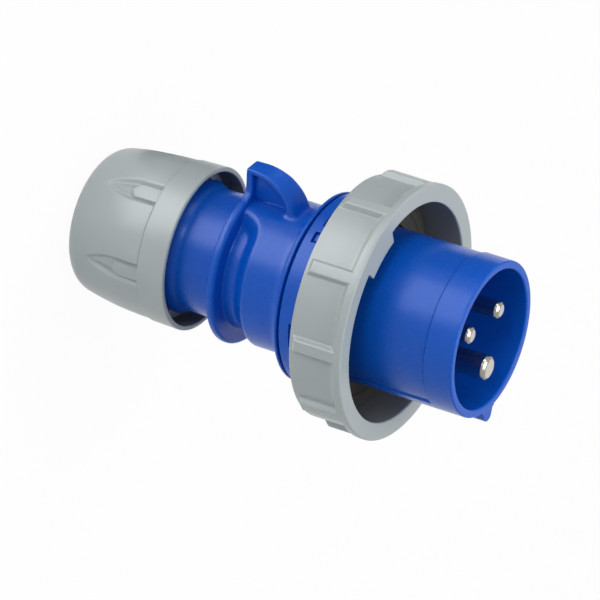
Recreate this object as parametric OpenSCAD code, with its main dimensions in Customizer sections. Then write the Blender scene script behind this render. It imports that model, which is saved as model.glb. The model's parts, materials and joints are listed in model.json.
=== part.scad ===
// Watertight industrial plug, three pins, standing on its gland cap with the pins up.
// The plug's axis is Z. The hook points to -Y and the earth pin and key lie toward +Y.

/* [Shroud] */
// Outer diameter of the shroud behind its key
shroud_d = 43.9; // [42:0.1:46]
// Inner diameter of the shroud
shroud_bore_d = 39.3; // [37:0.1:40.4]
// Depth of the shroud from its rim to the pin base
shroud_depth = 37; // [32:0.1:42]
// Length of the plain band at the rim
rim_band = 8.4; // [4:0.1:14]
// How far the field behind the rim band is set in
field_depth = 0.45; // [0.2:0.05:0.8]
// Angle from the hook at which the sunk field ends
field_end = 130.5; // [100:0.5:150]
// Radius of the rounding on the rim
rim_round = 0.5; // [0.2:0.1:0.9]
// Height of the key above the shroud
key_h = 3.45; // [2.4:0.05:4.2]
// Width of the key at its tip
key_tip_w = 4.1; // [3:0.1:4.4]
// Width of the key where it meets the shroud
key_root_w = 5.4; // [4.2:0.1:7]

/* [Front housing] */
// Outer diameter of the skirt behind the ring
skirt_d = 53.2; // [52.4:0.1:55]
// Wall of the skirt
skirt_wall = 2.2; // [1.8:0.1:2.8]
// Length of the skirt behind the gasket flange
skirt_len = 10.4; // [9.6:0.1:14]
// Diameter of the flange that carries the gasket
flange_d = 60.6; // [58:0.1:64]
// Thickness of the gasket flange
flange_t = 1.8; // [1.4:0.1:2.4]
// Width of the ledge that the pin carrier seats on
ledge_w = 1.45; // [1:0.05:2.5]
// Height of the snap lugs that hold the ring
snap_h = 1.2; // [0.7:0.1:1.6]
// Length of the snap lugs along the axis
snap_len = 1.5; // [1.2:0.1:2]
// Half angle of the snap lugs in line with the hook and the key
snap_wide_half = 21; // [16:0.5:24]
// Half angle of the snap lugs on the two sides
snap_side_half = 7.9; // [6:0.1:10]
// Depth of the moulding pockets in the skirt
pocket_depth = 1.4; // [0.8:0.1:1.5]
// Length of the moulding pockets along the axis
pocket_len = 2.1; // [1.6:0.1:2.4]
// Angle from the hook of the two moulding pockets beside it
pocket_angle = 16; // [14:0.5:17]
// Half angle of these two pockets
pocket_half = 5; // [3:0.5:6]
// Angle of the small latch pocket from the hook
latch_angle = 29.4; // [27:0.1:34]
// Width of the small latch pocket
latch_w = 3.5; // [2.8:0.1:4.2]

/* [Locking ring] */
// Wall of the ring behind its grip panels
ring_wall = 3.2; // [2.4:0.1:4.4]
// How far the grip panels are sunk between the ribs
panel_depth = 1.9; // [1.2:0.1:2.2]
// Clearance between the gasket flange and the ring
ring_clear = 0.5; // [0.3:0.05:0.9]
// Length of the ring along the axis
ring_len = 16.9; // [14:0.05:20]
// Width of the plain band at the front
ring_band = 2.25; // [1.5:0.05:3.5]
// Length of the slope between band and panel
ring_slope = 1.8; // [1:0.1:3]
// Thickness of the rear lip that runs on the skirt
ring_lip_t = 2.5; // [1.8:0.1:3]
// Number of ribs
rib_count = 10; // [8:2:12]
// Angle of the first rib from the hook
rib_phase = 13.2; // [0:0.1:35]
// Width of a rib at its foot
rib_foot_w = 4.4; // [3.4:0.1:5.4]
// Width of a rib at its top
rib_top_w = 3.2; // [2.4:0.1:4]
// Height of the two bayonet lugs inside the front edge
lug_h = 3.6; // [2.4:0.1:4]
// Thickness of the bayonet lugs
lug_t = 3.2; // [2.4:0.1:4]
// Angle that one bayonet lug spans
lug_span = 25.5; // [18:0.5:30]
// Angle of the first bayonet lug from the hook
lug_phase = 30.8; // [0:0.1:60]
// Angle that the ring turns from open to locked
ring_travel = 40; // [25:1:50]

/* [Rear housing] */
// Diameter of the main body
body_d = 41.7; // [41:0.1:43]
// Length of the plain main body
body_len = 8.7; // [6:0.1:12]
// Radius of the flare up to the front lip
flare_r = 5; // [3.6:0.1:5.6]
// How far the front lip is set in from the skirt
lip_step = 0.4; // [0:0.1:1]
// Thickness of the front lip
lip_t = 1.2; // [0.8:0.1:2]
// Gap of the seam between the two housings
seam_gap = 0.4; // [0.2:0.05:0.8]
// Diameter of the floor of the finger groove
groove_d = 35.2; // [34.8:0.1:37]
// Width of the groove floor
groove_w = 3.7; // [2.5:0.1:5]
// Length of the slope from the groove floor to the body
groove_slope = 3.7; // [2.5:0.1:5]
// Distance from the hook's middle to the centre of the groove's rounded end
groove_end = 13.8; // [12.6:0.1:15]
// Diameter of the fin
fin_d = 44.9; // [43.8:0.1:46.4]
// Thickness of the fin
fin_t = 2.6; // [2.2:0.1:3.2]
// Diameter of the neck
neck_d = 34.6; // [33.6:0.1:35]
// Length of the neck
neck_len = 11.4; // [9:0.1:16]
// Length of the flare behind the neck
neck_flare = 4; // [3:0.1:5]
// Diameter at the end of the neck's flare
flare_end_d = 37.6; // [37.2:0.1:38.4]
// Wall of the rear housing
body_wall = 2.2; // [1.8:0.1:2.4]
// Wall of the neck
neck_wall = 2.4; // [2:0.1:2.8]
// Wall of the spigot
spigot_wall = 2.4; // [2.2:0.1:2.6]

/* [Hook] */
// Height of the hook above the plug's axis
hook_h = 30.7; // [28:0.1:33]
// Length of the flat on top of the hook
hook_flat = 2.4; // [1.5:0.1:4]
// Radius of the hook's rounded back
hook_r = 14.5; // [13:0.1:15.6]
// Width of the hook at its rear edge
hook_rear_w = 5.6; // [5:0.1:7]
// Width of the hook at its foot
hook_foot_w = 8.2; // [7:0.1:9.6]
// Thickness of the hook's rear wall
hook_wall = 1.8; // [1.4:0.1:2.4]
// Thickness of the hook's curved band at the top
hook_band = 1.4; // [1.2:0.1:2.2]
// Thickness of the web in the middle of the hook
hook_web = 1.2; // [1:0.1:2]

/* [Gland cap] */
// Length of the cap
cap_len = 33.7; // [33:0.1:36]
// Diameter of the cap where it meets the collar
cap_d = 45.1; // [44:0.1:46]
// Radius of the barrel curve along the cap
cap_curve = 97; // [70:1:160]
// Radius of the cap's rear corner
cap_corner = 6.3; // [5:0.1:8]
// Length of the collar
collar_len = 8.4; // [6:0.1:9]
// Diameter of the collar at its front edge
collar_d = 46.1; // [45.6:0.1:47.4]
// Diameter of the collar at its rear edge
collar_rear_d = 45.6; // [45.2:0.1:46.6]
// Inner diameter of the collar
collar_bore_d = 43.4; // [42.6:0.1:43.8]
// Depth of the collar's bore
collar_bore_len = 6.4; // [5:0.1:7]
// Diameter of the cable hole
cable_hole_d = 19; // [16:0.1:20]
// Thickness of the cap's rear wall
cap_wall = 3; // [2.4:0.1:3.6]
// Number of grip flutes
flute_count = 6; // [4:1:8]
// Angle of the first flute from the hook
flute_phase = 30; // [0:1:59]
// Width of a flute at the collar
flute_w = 6.7; // [5:0.1:8]
// Depth of a flute
flute_depth = 1.25; // [0.8:0.05:1.5]
// Length of a flute
flute_len = 17; // [14:0.1:18.2]
// Length of the pointed end of a flute
flute_point = 10.5; // [8:0.1:12]
// Width of the tongue inside a flute
tongue_w = 4; // [3:0.1:4.6]
// Length of the tongue inside a flute
tongue_len = 8.7; // [7:0.1:11]

/* [Gland] */
// Outside diameter of the gland thread
thread_d = 36.8; // [36:0.1:37.2]
// Length of the threaded tail
tail_len = 14; // [13:0.1:16]
// Diameter of the seal's socket in the tail
socket_d = 30.6; // [29:0.1:31.4]
// Depth of the seal's socket
socket_depth = 12; // [11:0.1:12.4]
// Inner diameter of the shoulder that backs the seal
shoulder_d = 25.6; // [22:0.1:27]
// Length of the grip cone inside the cap
cone_len = 9.3; // [8:0.1:10.5]
// Thickness of the slip washer
washer_t = 1.6; // [1:0.1:2]
// Thickness of the clamp basket's flange
basket_flange_t = 2.4; // [1.8:0.1:3]
// Length of the basket's nose that presses the seal
basket_nose = 2.4; // [1.8:0.1:3]
// Number of clamp fingers
finger_count = 10; // [6:1:12]
// Width of the slots between the fingers
finger_slot = 1.6; // [1:0.1:2.2]
// How far the fingers' roots lie inside the thread's radius
finger_inset = 3.7; // [3.4:0.1:4.8]
// Outside diameter of the fingers at their tips
finger_tip_d = 23.2; // [22.6:0.1:25]
// Wall of the fingers
finger_wall = 2.1; // [1.6:0.1:2.4]
// Outside diameter of the removable inner seal
seal_insert_d = 20.2; // [18:0.1:22]
// Bore of the inner seal, for the thinnest cable
seal_bore_d = 12; // [8:0.1:14]

/* [Contacts] */
// Diameter of the circle on which the pins stand
pin_circle_d = 18.2; // [17.6:0.1:19]
// Diameter of the line and neutral pins
pin_d = 5; // [4.6:0.1:5.2]
// Diameter of the earth pin
earth_d = 7; // [6.6:0.1:7.2]
// Distance of the line and neutral tips behind the rim
pin_setback = 1.4; // [0.8:0.1:6]
// Distance of the earth tip behind the rim
earth_setback = 0.1; // [0:0.1:5]
// Length of the bevel at a pin's tip
pin_bevel = 1.1; // [0.6:0.1:1.6]
// How much thicker a pin is inside the carrier
pin_seat_step = 0.2; // [0.1:0.05:0.3]
// Depth of the undercut where a pin leaves the carrier
pin_undercut = 0.2; // [0.1:0.05:0.4]
// How far a pin's collar stands out from its terminal
collar_step = 0.6; // [0.4:0.1:1]
// Thickness of a pin's collar
collar_t = 2; // [1.4:0.1:2.4]
// Diameter of the line and neutral terminals
terminal_d = 8.2; // [7.8:0.1:8.6]
// Diameter of the earth terminal
earth_terminal_d = 9; // [8.6:0.1:9.4]
// Length of the terminals
terminal_len = 15.5; // [13:0.1:17]
// Wire hole in the line and neutral terminals
wire_d = 4.2; // [3.4:0.1:4.6]
// Wire hole in the earth terminal
earth_wire_d = 4.8; // [4:0.1:5.2]
// Depth of the wire holes
wire_depth = 12; // [10:0.1:12.6]
// Distance of the terminal screws from the wire end
screw_setback = 5; // [4:0.1:6.5]
// Shank diameter of the terminal screws
screw_d = 3; // [2.6:0.1:3.2]
// Head diameter of the terminal screws
screw_head_d = 5.2; // [4.6:0.1:5.6]
// Head height of the terminal screws
screw_head_h = 2; // [1.6:0.1:2.4]

/* [Carrier] */
// Thickness of the pin carrier's flange
carrier_t = 3.3; // [3:0.1:3.8]
// Height of the carrier's seat above the ledge
carrier_seat = 3.6; // [3:0.1:4.4]
// Diameter of a lobe of the contact retainer
lobe_d = 13.2; // [12.4:0.1:14]
// Thickness of the retainer's flange
retainer_t = 2; // [1.6:0.1:2.6]
// Room between the retainer's flange and the spigot
retainer_room = 0.8; // [0.4:0.1:1.4]
// How far the retainer stops short of the wire ends
retainer_short = 0.6; // [0.2:0.1:2]
// Distance of the retainer screws from the axis
retainer_screw_r = 17.4; // [16.8:0.1:17.6]
// Shank diameter of the retainer screws
retainer_screw_d = 2.8; // [2.5:0.1:3]
// Head diameter of the retainer screws
retainer_head_d = 5.4; // [4.8:0.1:5.8]

/* [Seals] */
// Thickness of the flange gasket
gasket_t = 2; // [1.6:0.1:2.6]
// Cross-section of the seal ring between the housings
o_ring_d = 2; // [1.8:0.1:2.1]

/* [Fits] */
// Radial clearance between parts that turn on each other
turn_gap = 0.3; // [0.25:0.05:0.4]
// Clearance between parts that only sit in each other
seat_gap = 0.1; // [0.05:0.05:0.2]
// Clearance around pins and screws
pin_gap = 0.05; // [0.03:0.01:0.08]

/* [Hidden] */
$fn = 96;
cut = 1;

blue = "#1450BE";
deep_blue = "#0C3C9C";
grey = "#A8B2B3";
rubber = "#2B2D2E";
nylon = "#D8D6CC";
black_nylon = "#303234";
nickel = "#CFCBBF";
steel = "#B9BCC0";

// Heights along the axis, from the rear face of the cap to the rim of the shroud
z_cone_end = cap_wall + cone_len;
z_washer = z_cone_end + seat_gap;
z_basket = z_washer + washer_t + seat_gap;
z_nose = z_basket + basket_flange_t;
z_tail = z_nose + 0.5;
z_seal = z_nose + basket_nose + seat_gap;
z_shoulder = z_tail + socket_depth;
z_tail_end = z_tail + tail_len;
z_neck = z_tail_end + neck_flare;
z_fin = z_neck + neck_len;
z_groove = z_fin + fin_t;
z_slope = z_groove + groove_w;
z_body = z_slope + groove_slope;
z_flare = z_body + body_len;
z_lip = z_flare + flare_r;
z_seam = z_lip + lip_t;
z_skirt = z_seam + seam_gap;
z_flange = z_skirt + skirt_len;
z_gasket = z_flange + flange_t;
z_ledge = z_gasket - 2.3;
z_base = z_ledge + carrier_seat;
z_rim = z_base + shroud_depth;
z_ring = z_flange - turn_gap - ring_lip_t;
z_carrier = z_ledge - seat_gap - carrier_t;
z_collar = z_carrier + seat_gap / 2;
z_wire = z_collar - terminal_len;
z_screw = z_wire + screw_setback;
z_retainer = z_carrier - seat_gap / 2 - retainer_t;
z_spigot = z_carrier - 3 * seat_gap;
z_seal_low = z_seam + 0.75;
z_seal_top = z_seal_low + o_ring_d + seat_gap;

// Radii that follow from the sizes above
edge = 0.3;
shroud_r = shroud_d / 2;
field_r = shroud_r - field_depth;
bore_r = shroud_bore_d / 2;
skirt_r = skirt_d / 2;
skirt_in = skirt_r - skirt_wall;
snap_r = skirt_r + snap_h;
flange_r = flange_d / 2;
ring_in = flange_r + ring_clear;
panel_r = ring_in + ring_wall;
ring_r = panel_r + panel_depth;
ring_lip_r = skirt_r + turn_gap;
body_r = body_d / 2;
lip_r = skirt_r - lip_step;
flare_fit = min(flare_r, lip_r - body_r - edge - 0.05);
groove_r = groove_d / 2;
fin_r = fin_d / 2;
neck_r = neck_d / 2;
spigot_r = skirt_in - 1;
spigot_in = spigot_r - spigot_wall;
seal_floor = skirt_in - o_ring_d - 1.5 * seat_gap;
thread_r = thread_d / 2;
finger_r = thread_r - finger_inset;
cap_bore_r = thread_r + turn_gap + 0.05;
pin_r = pin_d / 2;
earth_r = earth_d / 2;
pin_orbit = pin_circle_d / 2;
z_snap = z_ring - turn_gap;
z_pocket = z_snap - snap_len - 0.5 - pocket_len;
snap_side = 91.6;
snap_gap = snap_side - snap_side_half - snap_wide_half;
stop_play = 0.5;
stop_tab = snap_gap - ring_travel - 2 * stop_play;
field_round = 0.6;
earth_angle = 180;
line_angle = 60;

// Points of an arc round (x, y), from angle a0 to angle a1
function arc(x, y, r, a0, a1, n = 6) =
    [for (i = [0:n]) let (a = a0 + (a1 - a0) * i / n) [x + r * cos(a), y + r * sin(a)]];

// Turns +X to the direction at angle a from the hook, counted toward +X
module at_angle(a) {
    rotate([0, 0, a - 90]) children();
}

// Ring between two radii and two heights
module tube(r_out, r_in, z0, z1) {
    rotate_extrude() translate([r_in, z0]) square([r_out - r_in, z1 - z0]);
}

// Part of such a ring between two angles from the hook
module sector(r_out, r_in, z0, z1, a0, a1) {
    at_angle(a0) rotate_extrude(angle = a1 - a0) translate([r_in, z0]) square([r_out - r_in, z1 - z0]);
}

// Stands a shape in the (radius, height) plane up and gives it a width across the radius
module upright(width) {
    rotate([90, 0, 0]) linear_extrude(width, center = true) children();
}

// Front housing: shroud, gasket flange and skirt

module shroud_profile() {
    polygon(concat(
        [[skirt_in, z_skirt], [skirt_r - 0.4, z_skirt], [skirt_r, z_skirt + 0.4], [skirt_r, z_flange]],
        [[flange_r - edge, z_flange], [flange_r, z_flange + edge], [flange_r, z_gasket]],
        arc(field_r + field_round, z_gasket + field_round, field_round, 270, 180, 4),
        [[field_r, z_rim - rim_band - field_depth], [shroud_r, z_rim - rim_band]],
        arc(shroud_r - rim_round, z_rim - rim_round, rim_round, 0, 90, 5),
        arc(bore_r + rim_round, z_rim - rim_round, rim_round, 90, 180, 5),
        [[bore_r, z_base], [bore_r - ledge_w, z_base], [bore_r - ledge_w, z_ledge], [skirt_in, z_ledge]]));
}

module key_section() {
    root = key_root_w / 2;
    tip = key_tip_w / 2;
    top = shroud_r + key_h;
    foot = field_r - 0.6;
    side = concat(
        [[foot, root + 0.6], [shroud_r - 0.25, root + 0.6]],
        arc(shroud_r + 1.1, root + 0.55, 1.1, 180, 225, 4),
        arc(top - tip, 0, tip, 78, 0, 6));
    polygon(concat(side, [for (i = [len(side) - 1:-1:0]) [side[i][0], -side[i][1]]]));
}

module shroud_key() {
    z0 = z_gasket + gasket_t + 0.8;
    at_angle(180) translate([0, 0, z0]) linear_extrude(z_rim - 0.1 - z0) key_section();
}

// Sides at which the snap lugs and the moulding pockets behind them stand, with their half angles
snap_places = [[0, snap_wide_half], [snap_side, snap_side_half], [180, snap_wide_half],
    [-snap_side, snap_side_half]];
pocket_places = concat([[snap_side, snap_side_half], [-snap_side, snap_side_half]],
    [for (a = [-pocket_angle, pocket_angle, 180 - pocket_angle, 180 + pocket_angle]) [a, pocket_half]]);

module snap_lug(place) {
    at_angle(place[0] - place[1]) rotate_extrude(angle = 2 * place[1])
        polygon([[skirt_r - 0.6, z_snap - snap_len - 0.4], [snap_r, z_snap - 0.5], [snap_r, z_snap],
            [skirt_r - 0.6, z_snap]]);
}

module latch_pocket(side) {
    at_angle(side * latch_angle) difference() {
        translate([skirt_r - pocket_depth, -latch_w / 2, z_pocket - 0.8])
            cube([pocket_depth + cut, latch_w, pocket_len + 0.8]);
        translate([skirt_r - pocket_depth - cut, -latch_w / 2 + 0.7, z_pocket - 0.1])
            cube([pocket_depth + cut - 0.3, latch_w - 1.4, pocket_len]);
    }
}

module shroud_housing() {
    color(blue) difference() {
        union() {
            rotate_extrude() shroud_profile();
            sector(shroud_r, field_r - 0.6, z_gasket + gasket_t + 0.8, z_rim - rim_band,
                field_end, 360 - field_end);
            shroud_key();
            for (place = snap_places) snap_lug(place);
            for (i = [0:2]) twist_catch(i);
        }
        for (place = pocket_places)
            sector(skirt_r + cut, skirt_r - pocket_depth, z_pocket, z_pocket + pocket_len,
                place[0] - place[1], place[0] + place[1]);
        for (side = [-1, 1]) latch_pocket(side);
    }
}

// Inward lug of the twist lock that holds the two housings together
module twist_catch(i) {
    middle = 60 + 120 * i;
    sector(skirt_in + 0.5, spigot_r + seat_gap, z_seam + 3.1, z_seam + 4.1, middle - 14, middle + 14);
}

// Rear housing: spigot, lip, body, finger groove, fin, neck and threaded tail

module body_profile() {
    r_corner = 0.5;
    polygon(concat(
        [[socket_d / 2 + 0.5, z_tail], [thread_r - 0.8, z_tail], [thread_r, z_tail + 0.8]],
        [[thread_r, z_tail_end]],
        [[flare_end_d / 2, z_tail_end]],
        arc(neck_r + neck_flare, z_neck, neck_flare, 201, 180, 5),
        arc(neck_r + r_corner, z_fin - r_corner, r_corner, 180, 90, 3),
        arc(fin_r - 1, z_fin + 1, 1, 270, 360, 5),
        arc(fin_r - 1, z_groove - 1, 1, 0, 90, 5),
        [[body_r, z_groove], [body_r, z_flare]],
        arc(body_r + flare_fit, z_flare + flare_r - flare_fit, flare_fit, 180, 90, 8),
        [[lip_r - edge, z_lip], [lip_r, z_lip + edge], [lip_r, z_seam]],
        [[spigot_r + 0.85, z_seam], [spigot_r + 0.85, z_seam + 0.6], [spigot_r, z_seam + 0.6]],
        [[spigot_r, z_seal_low], [seal_floor, z_seal_low], [seal_floor, z_seal_top]],
        [[spigot_r, z_seal_top], [spigot_r, z_spigot - 0.5]],
        [[spigot_r - 0.5, z_spigot], [spigot_in, z_spigot], [spigot_in, z_seam]],
        [[body_r - body_wall, z_flare + 2.2], [body_r - body_wall, z_body + 0.4]],
        [[neck_r - neck_wall, z_slope - 0.4], [neck_r - neck_wall, z_shoulder + 2.4]],
        [[shoulder_d / 2, z_shoulder + 1.6], [shoulder_d / 2, z_shoulder], [socket_d / 2, z_shoulder]],
        [[socket_d / 2, z_tail + 0.5]]));
}

// Groove between body and fin. It runs round from one side of the hook to the other,
// and a block that is rounded off at both ends keeps the body whole under the hook
module finger_groove() {
    over = cut / (body_r - groove_r);
    end_r = groove_w + groove_slope + 0.3;
    difference() {
        rotate_extrude() polygon([[groove_r, z_groove], [groove_r, z_slope],
            [body_r + cut, z_body + over * groove_slope], [body_r + cut, z_groove]]);
        rotate([90, 0, 0]) linear_extrude(body_d) difference() {
            translate([-groove_end, z_groove - cut]) square([2 * groove_end, end_r + 2 * cut]);
            for (side = [-1, 1]) translate([side * groove_end, z_groove]) circle(end_r);
        }
    }
}

// Outline of the hook from the side, as radius and height
module hook_side() {
    z_top = z_fin + 1.2;
    polygon(concat(
        [[body_r - 3, z_fin + 0.1], [fin_r, z_fin + 0.1]],
        [[hook_h - 0.3, z_top - 0.7], [hook_h, z_top - 0.4]],
        arc(hook_h - hook_r, z_top + hook_flat, hook_r,
            0, acos((body_r - 3 - hook_h + hook_r) / hook_r), 16)));
}

// Outline of the hollow on each side of the hook's web
module hook_hollow() {
    inner_r = hook_r - hook_band + 0.2;
    z_top = z_fin + 1.2 + hook_flat - 1;
    z_in = z_fin + 0.9 + hook_wall;
    polygon(concat(
        [[body_r - 4, z_in], [hook_h - hook_band - 0.1, z_in]],
        arc(hook_h - hook_band - 0.1 - inner_r, z_top, inner_r, asin((z_in + 0.2 - z_top) / inner_r),
            acos((body_r - 4 - hook_h + hook_band + 0.1 + inner_r) / inner_r), 14)));
}

module hook_plan() {
    rear = hook_rear_w / 2;
    foot = hook_foot_w / 2;
    z_mid = z_fin + fin_t + groove_w / 2;
    z_end = z_fin + 1.2 + hook_flat + hook_r + 1;
    polygon([[-rear, z_fin], [-rear - 0.15, z_mid], [-foot, z_end],
        [foot, z_end], [rear + 0.15, z_mid], [rear, z_fin]]);
}

module hook() {
    difference() {
        intersection() {
            upright(2 * hook_foot_w) hook_side();
            rotate([90, 0, 90]) linear_extrude(hook_h + cut) hook_plan();
        }
        for (side = [-1, 1])
            translate([0, side * (hook_web + hook_foot_w) / 2, 0]) upright(hook_foot_w) hook_hollow();
    }
    hook_root();
}

// Concave foot where the hook's rear wall runs out into the fin
module hook_root() {
    foot_r = 3;
    w = hook_rear_w / 2 - 0.1;
    h = sqrt(pow(fin_r - 1 + foot_r, 2) - pow(w + foot_r, 2));
    translate([0, 0, z_fin + 0.5]) linear_extrude(fin_t - 0.9) difference() {
        polygon([[0, 0], [h, w + foot_r], [h, -w - foot_r]]);
        for (side = [-1, 1]) translate([h, side * (w + foot_r)]) circle(foot_r);
    }
}

module twist_lug(i) {
    middle = 60 + 120 * i;
    sector(skirt_in - seat_gap, spigot_r - 0.5, z_seam + 4.2, z_seam + 5.4, middle - 12, middle + 12);
}

module rear_housing() {
    color(blue) union() {
        difference() {
            rotate_extrude() body_profile();
            finger_groove();
        }
        difference() {
            at_angle(0) hook();
            cylinder(z_rim, r = body_r - body_wall + 0.5);
        }
        for (i = [0:2]) twist_lug(i);
    }
}

// Locking ring with its ribs, bayonet lugs and stop

module ring_profile() {
    z1 = z_ring + ring_len;
    z_band = z1 - ring_band;
    polygon([[ring_lip_r, z_ring], [panel_r - 0.3, z_ring], [panel_r, z_ring + 0.3],
        [panel_r, z_band - ring_slope], [ring_r, z_band], [ring_r, z1 - 0.5], [ring_r - 0.15, z1 - 0.15],
        [ring_r - 0.5, z1], [ring_in + 0.3, z1], [ring_in, z1 - 0.3],
        [ring_in, z_ring + ring_lip_t], [ring_lip_r, z_ring + ring_lip_t]]);
}

// Section of all ribs along the axis, with their sloped rear ends
module rib_side() {
    z_band = z_ring + ring_len - ring_band;
    polygon([[panel_r - 1, z_ring + 0.2], [panel_r, z_ring + 0.2], [ring_r, z_ring + 1.9],
        [ring_r, z_band + 0.2], [panel_r - 1, z_band + 0.2]]);
}

module rib_plan() {
    foot = rib_foot_w / 2;
    top = rib_top_w / 2;
    lean = (foot - top) / panel_depth;
    polygon([[panel_r - 2, -foot - lean * 2], [ring_r + 1, -top + lean], [ring_r + 1, top - lean],
        [panel_r - 2, foot + lean * 2]]);
}

module ring_ribs() {
    intersection() {
        rotate_extrude() rib_side();
        for (i = [0:rib_count - 1])
            at_angle(rib_phase + 360 / rib_count * i) translate([0, 0, z_ring])
                linear_extrude(ring_len) rib_plan();
    }
}

module locking_ring() {
    z1 = z_ring + ring_len;
    stop_from = snap_wide_half + stop_play;
    color(grey) union() {
        rotate_extrude() ring_profile();
        ring_ribs();
        for (a = [lug_phase, lug_phase + 180])
            sector(ring_in + 0.6, ring_in - lug_h, z1 - lug_t, z1, a - lug_span / 2, a + lug_span / 2);
        sector(ring_lip_r + 1.9, ring_lip_r + 0.1, z_ring - snap_len, z_ring + 0.5,
            stop_from, stop_from + stop_tab);
    }
}

// Gland cap: a domed nut with six flutes

module cap_profile() {
    collar_z = cap_len - collar_len;
    curve_x = cap_d / 2 - cap_curve;
    tangent = asin((collar_z - cap_corner) / (cap_curve - cap_corner));
    corner_x = curve_x + (cap_curve - cap_corner) * cos(tangent);
    cone_tip = finger_tip_d / 2 + turn_gap;
    cone_root = finger_r + turn_gap;
    polygon(concat(
        [[cable_hole_d / 2 + 0.5, 0]],
        arc(corner_x, cap_corner, cap_corner, 270, 360 - tangent, 12),
        arc(curve_x, collar_z, cap_curve, -tangent * 0.9, 0, 8),
        [[cap_d / 2 + 0.1, collar_z], [collar_rear_d / 2, collar_z + 0.2], [collar_d / 2, cap_len - 0.3]],
        [[collar_d / 2 - 0.3, cap_len], [collar_bore_d / 2 + 0.2, cap_len]],
        [[collar_bore_d / 2, cap_len - 0.2]],
        [[collar_bore_d / 2, cap_len - collar_bore_len], [cap_bore_r, cap_len - collar_bore_len]],
        [[cap_bore_r, z_cone_end], [cone_root, z_cone_end], [cone_tip, cap_wall]],
        [[cable_hole_d / 2, cap_wall], [cable_hole_d / 2, 0.5]]));
}

// Outline of a flute, pointed at the rear, as distance across and height
module flute_plan() {
    w = flute_w / 2;
    r = (w * w + flute_point * flute_point) / (2 * w);
    top = cap_len - collar_len;
    z_point = top - flute_len + flute_point;
    a = asin(flute_point / r);
    polygon(concat(
        [[w, top], [w, z_point]],
        arc(w - r, z_point, r, 0, -a, 8),
        arc(r - w, z_point, r, 180 + a, 180, 8),
        [[-w, top]]));
}

module tongue_plan() {
    w = tongue_w / 2;
    top = cap_len - collar_len;
    polygon(concat([[w, top + cut]], arc(w - 1.4, top - tongue_len + 1.8, 1.4, 0, -70, 5),
        arc(1.4 - w, top - tongue_len + 1.8, 1.4, 250, 180, 5), [[-w, top + cut]]));
}

// Low ridge that runs from the flute's point up to the tongue
module flute_ridge() {
    top = cap_len - collar_len;
    floor_r = cap_d / 2 - flute_depth;
    z_low = top - flute_len;
    z_high = top - tongue_len + 1;
    upright(0.9) polygon([[floor_r - 3, z_low], [floor_r - 1, z_low],
        [floor_r + flute_depth * 0.55, z_high], [floor_r - 3, z_high]]);
}

module flute_cut() {
    top = cap_len - collar_len;
    floor_r = cap_d / 2 - flute_depth;
    difference() {
        intersection() {
            rotate([90, 0, 90]) linear_extrude(cap_d) flute_plan();
            rotate_extrude() polygon([[floor_r, top], [floor_r - 0.4, top - 10],
                [floor_r - 1.6, top - flute_len], [cap_d, top - flute_len], [cap_d, top]]);
        }
        intersection() {
            rotate([90, 0, 90]) linear_extrude(cap_d) tongue_plan();
            cylinder(cap_len, r = cap_d / 2 - 0.5);
        }
        flute_ridge();
    }
}

module gland_cap() {
    color(grey) difference() {
        rotate_extrude() cap_profile();
        for (i = [0:flute_count - 1]) at_angle(flute_phase + 360 / flute_count * i) flute_cut();
    }
}

// Seals

module flange_gasket() {
    r_in = shroud_r + 0.3;
    r_out = flange_r - edge;
    bead = 0.5;
    r_mid = (r_in + r_out) / 2 + 1;
    color(rubber) rotate_extrude() polygon([[r_in, z_gasket], [r_out, z_gasket],
        [r_out, z_gasket + gasket_t - bead], [r_mid + 1.2, z_gasket + gasket_t - bead],
        [r_mid + 0.6, z_gasket + gasket_t], [r_mid - 0.6, z_gasket + gasket_t],
        [r_mid - 1.2, z_gasket + gasket_t - bead], [r_in, z_gasket + gasket_t - bead]]);
}

module housing_seal() {
    color(rubber) rotate_extrude() translate([(skirt_in + seal_floor) / 2, (z_seal_low + z_seal_top) / 2])
        circle(d = o_ring_d);
}

module gland_seal() {
    color(rubber) tube(socket_d / 2 - seat_gap, seal_insert_d / 2 + seat_gap / 2,
        z_seal, z_shoulder - seat_gap);
}

module gland_seal_insert() {
    r_in = seal_bore_d / 2;
    r_out = seal_insert_d / 2 - seat_gap / 2;
    z1 = z_shoulder - seat_gap;
    color(rubber) rotate_extrude() polygon([[r_in + 1.4, z_seal], [r_out, z_seal], [r_out, z1],
        [r_in + 1.4, z1], [r_in, z1 - 2], [r_in, z_seal + 2]]);
}

// Cable clamp: fingers that the cap's cone presses on the cable

module finger_profile() {
    root = finger_r;
    tip = finger_tip_d / 2;
    z_tip = cap_wall + 0.8;
    polygon([[tip - finger_wall, z_tip], [tip, z_tip],
        [root, z_basket + 0.2], [root - finger_wall, z_basket + 0.2]]);
}

module clamp_basket() {
    r_in = finger_r - finger_wall;
    color(black_nylon) union() {
        tube(cap_bore_r - 0.5, r_in, z_basket, z_nose);
        tube(socket_d / 2 - 2 * seat_gap, r_in, z_nose - 0.2, z_nose + basket_nose);
        difference() {
            rotate_extrude() finger_profile();
            for (i = [0:finger_count - 1])
                rotate([0, 0, 360 / finger_count * i]) translate([0, -finger_slot / 2, 0])
                    cube([2 * finger_r, finger_slot, z_basket - 0.8]);
        }
    }
}

module slip_washer() {
    color(nylon) tube(cap_bore_r - 0.4, finger_r + turn_gap, z_washer, z_washer + washer_t);
}

// Contacts. Each place is an angle from the hook

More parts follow.
